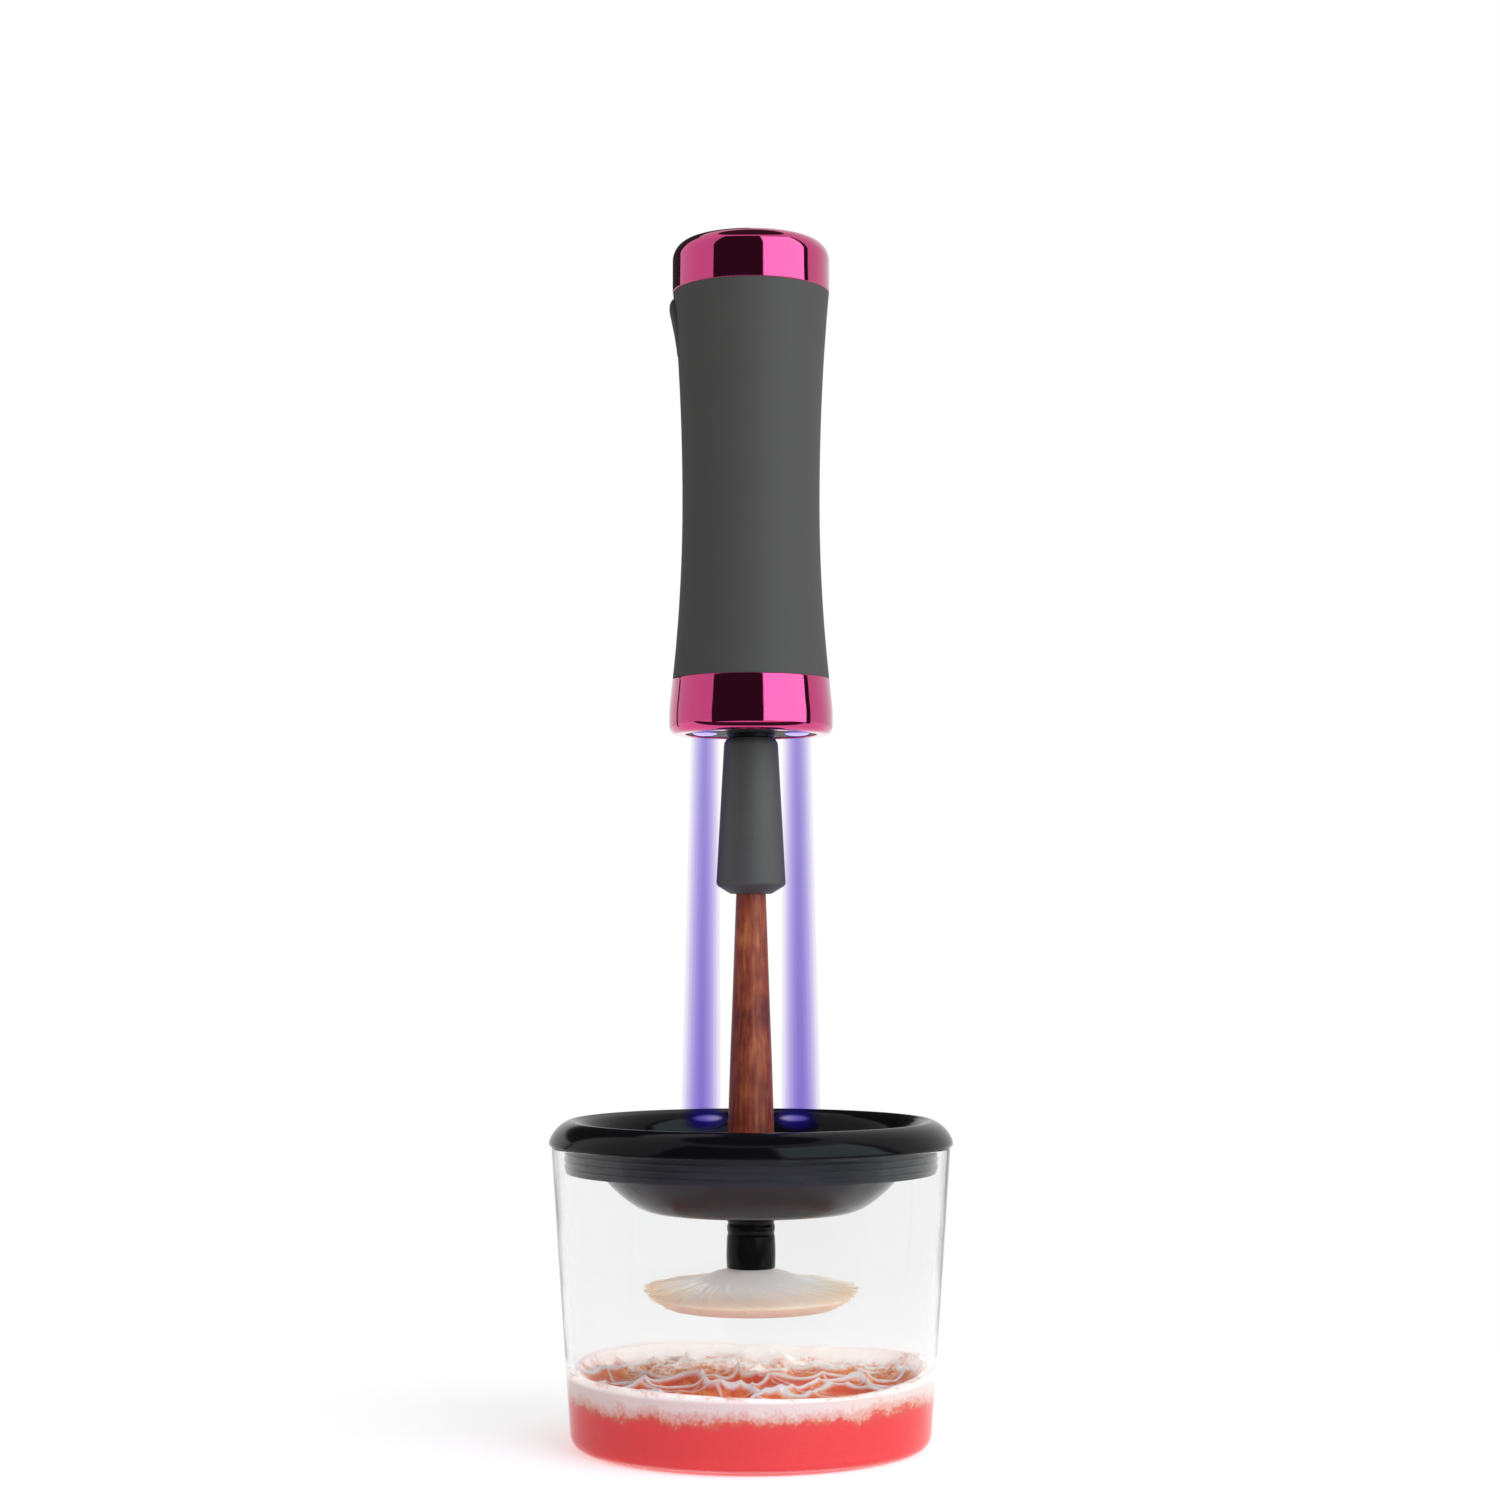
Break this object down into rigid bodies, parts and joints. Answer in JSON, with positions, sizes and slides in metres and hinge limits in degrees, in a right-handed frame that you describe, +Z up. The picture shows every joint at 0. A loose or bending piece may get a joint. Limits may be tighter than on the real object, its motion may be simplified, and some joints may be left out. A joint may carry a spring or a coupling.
{
  "type": "make-up brush cleaner",
  "caption": "Motor handle that spins a make-up brush, held in a rubber collar, over a clear bowl with a black dished splash guard.",
  "frame": {"origin": "centre of the bowl's foot, on the table", "axes": "+Z up along the axis that the bowl, brush and handle share; -Y faces the user, and the power button is on the -X side"},
  "size_m": [0.1004, 0.1004, 0.3007],
  "materials": {
    "clear_styrene": "clear polystyrene, injection moulded, polished",
    "black_abs": "black ABS, high gloss",
    "soft_touch_grey": "grey soft-touch lacquer over ABS",
    "pink_metallised": "ABS, vacuum metallised and lacquered pink",
    "nose_abs": "dark grey ABS, fine spark texture",
    "frame_abs": "natural ABS, as moulded",
    "steel": "nickel-plated steel",
    "ferrite": "sintered ferrite",
    "armature": "laminated steel wound with enamelled copper wire",
    "nylon": "natural nylon",
    "brass": "brass, as stamped",
    "bronze": "sintered bronze, oiled",
    "cell_sleeve": "steel cell in a blue PVC shrink sleeve",
    "circuit_green": "glass-epoxy board with green solder mask",
    "component_black": "moulded epoxy packages",
    "emitter": "phosphor-free LED packages, clear resin",
    "violet_lens": "clear violet lens, lit from behind",
    "lead_red": "red PVC insulation",
    "lead_white": "white PVC insulation",
    "spindle_black": "black acetal",
    "silicone_grey": "grey silicone rubber, satin",
    "seal_rubber": "nitrile rubber",
    "red_wood": "turned hardwood, red-brown stain, lacquered",
    "ferrule_black": "aluminium ferrule, gloss black lacquer",
    "bristles": "synthetic bristle, grey-white with cream tips"
  },
  "bodies": {
    "bowl": {"bowl": "clear_styrene"},
    "guard": {"splash_guard": "black_abs"},
    "handle": {"outer_casing": "soft_touch_grey", "top_cap": "pink_metallised", "bottom_ring": "pink_metallised", "nose_plate": "nose_abs", "chassis_front": "frame_abs", "chassis_rear": "frame_abs", "chassis_screws": "steel", "nose_screws": "steel", "motor_mount": "steel", "motor_screws": "steel", "motor_can": "steel", "motor_magnets": "ferrite", "motor_endbell": "nylon", "motor_terminals": "brass", "spindle_bearing": "bronze", "shaft_seal": "seal_rubber", "battery_cell": "cell_sleeve", "battery_tabs": "steel", "circuit_board": "circuit_green", "board_components": "component_black", "tact_switch": "component_black", "usb_socket": "steel", "led_board": "circuit_green", "led_emitters": "emitter", "led_lenses": "violet_lens", "motor_leads": "lead_red", "led_leads": "lead_white"},
    "drive": {"motor_shaft": "steel", "motor_armature": "armature", "drive_coupling": "nylon", "spindle": "spindle_black"},
    "collar": {"collar": "silicone_grey"},
    "brush": {"brush_handle": "red_wood", "brush_ferrule": "ferrule_black", "brush_bristles": "bristles"},
    "button": {"power_button": "soft_touch_grey", "switch_plunger": "nylon"},
    "flap": {"port_cover": "silicone_grey"}
  },
  "joints": [
    {"name": "guard_lift", "type": "slide", "parent": "bowl", "child": "guard", "axis": [0, 0, 1], "range_m": [0, 0.05]},
    {"name": "handle_lift", "type": "slide", "parent": "bowl", "child": "handle", "axis": [0, 0, 1], "range_m": [-0.024, 0.15], "deforming": ["brush_bristles"]},
    {"name": "spindle_spin", "type": "hinge", "parent": "handle", "child": "drive", "pos_m": [0, 0, 0.185], "axis": [0, 0, 1], "continuous": true},
    {"name": "collar_pull", "type": "slide", "parent": "drive", "child": "collar", "axis": [0, 0, -1], "range_m": [0, 0.018]},
    {"name": "brush_pull", "type": "slide", "parent": "collar", "child": "brush", "axis": [0, 0, -1], "range_m": [0, 0.02]},
    {"name": "button_press", "type": "slide", "parent": "handle", "child": "button", "axis": [1, 0, 0], "range_m": [0, 0.0005], "stiffness_N_per_m": 2000},
    {"name": "flap_hinge", "type": "hinge", "parent": "handle", "child": "flap", "pos_m": [0, 0.0182, 0.2634], "axis": [-1, 0, 0], "range_deg": [0, 100]}
  ]
}
